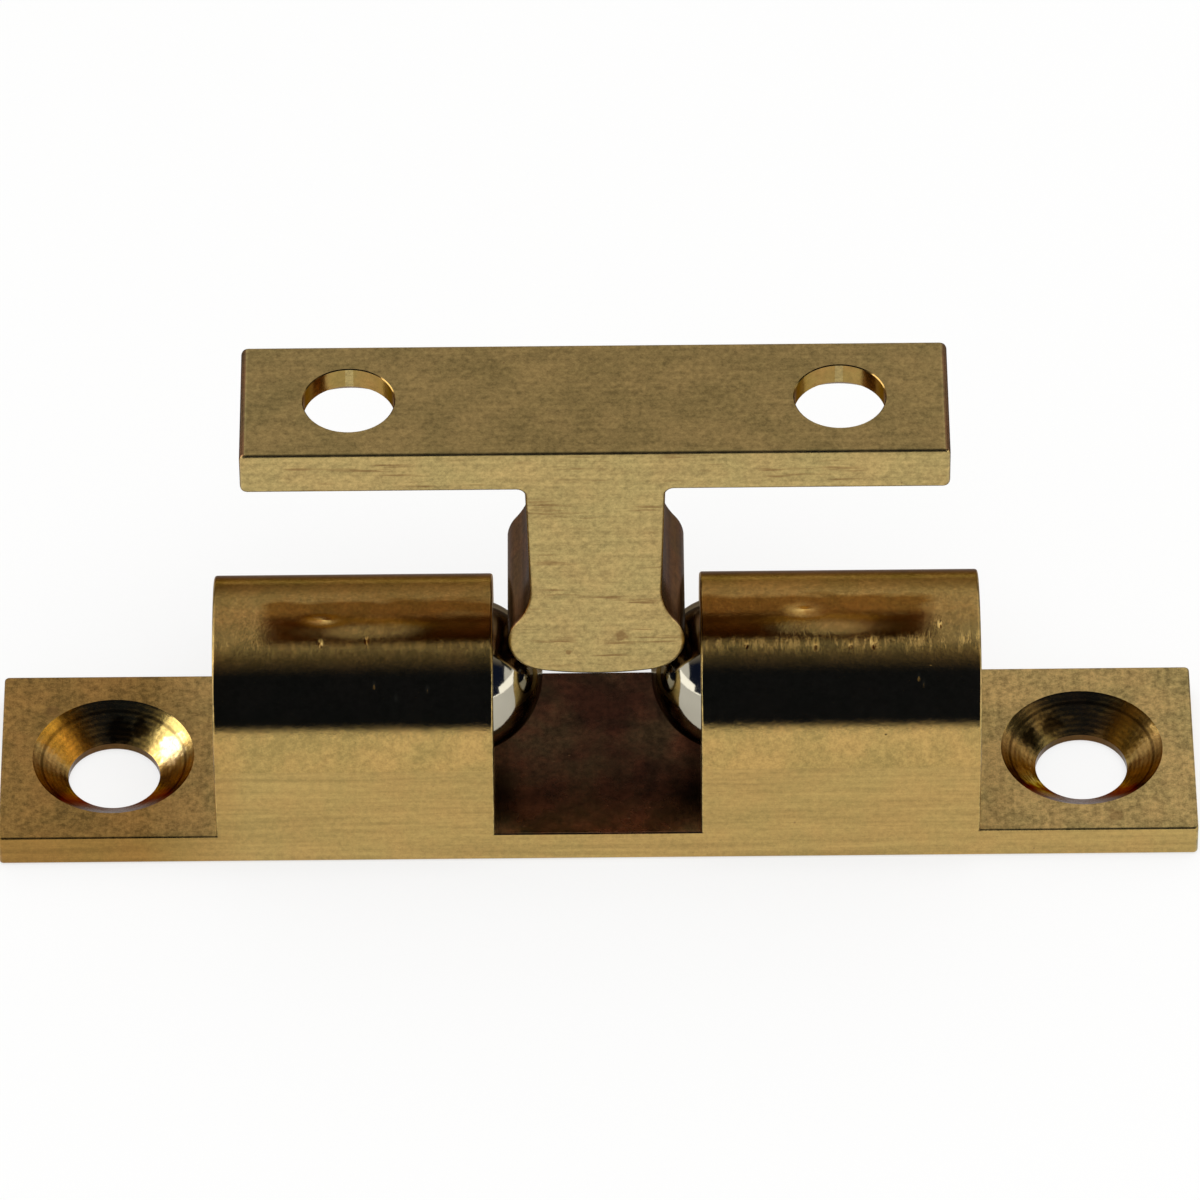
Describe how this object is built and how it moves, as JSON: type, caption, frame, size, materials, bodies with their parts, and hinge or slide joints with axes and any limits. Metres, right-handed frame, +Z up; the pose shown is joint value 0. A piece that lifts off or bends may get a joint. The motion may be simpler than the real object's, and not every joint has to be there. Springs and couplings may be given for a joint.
{
  "type": "double ball catch",
  "caption": "Adjustable brass ball catch for a cupboard door: an arched body with sprung steel balls facing across a slot, and a T-shaped strike whose round foot snaps in between them.",
  "frame": {"origin": "middle of the catch body's underside", "axes": "+X along the catch body, +Y across it towards its back face, +Z up out of the screwed-down base, the way the strike comes out"},
  "size_m": [0.05, 0.0098, 0.0202],
  "materials": {
    "brass_body": "polished, lightly tarnished",
    "brass_strike": "drawn plate, sawn and ground front face",
    "ball_steel": "polished bearing steel",
    "spring_steel": "drawn wire, oiled",
    "brass_screw": "turned"
  },
  "bodies": {
    "catch": {"body": "brass_body", "spring_left": "spring_steel", "spring_right": "spring_steel"},
    "strike": {"strike": "brass_strike"},
    "ball_left": {"ball_left": "ball_steel"},
    "ball_right": {"ball_right": "ball_steel"},
    "adjuster_left": {"adjuster_left": "brass_screw"},
    "adjuster_right": {"adjuster_right": "brass_screw"}
  },
  "joints": [
    {"name": "strike_lift", "type": "slide", "parent": "catch", "child": "strike", "axis": [0, 0, 1], "range_m": [0, 0.015]},
    {"name": "ball_left_push", "type": "slide", "parent": "catch", "child": "ball_left", "axis": [-1, 0, 0], "range_m": [0, 0.0019], "stiffness_N_per_m": 6000, "springref_m": -0.0012, "deforming": ["spring_left"]},
    {"name": "ball_right_push", "type": "slide", "parent": "catch", "child": "ball_right", "axis": [1, 0, 0], "range_m": [0, 0.0019], "stiffness_N_per_m": 6000, "springref_m": -0.0012, "deforming": ["spring_right"]},
    {"name": "adjuster_left_turn", "type": "hinge", "parent": "catch", "child": "adjuster_left", "pos_m": [-0.0155, 0, 0.00605], "axis": [1, 0, 0], "range_deg": [0, 720]},
    {"name": "adjuster_right_turn", "type": "hinge", "parent": "catch", "child": "adjuster_right", "pos_m": [0.0155, 0, 0.00605], "axis": [-1, 0, 0], "range_deg": [0, 720]}
  ]
}
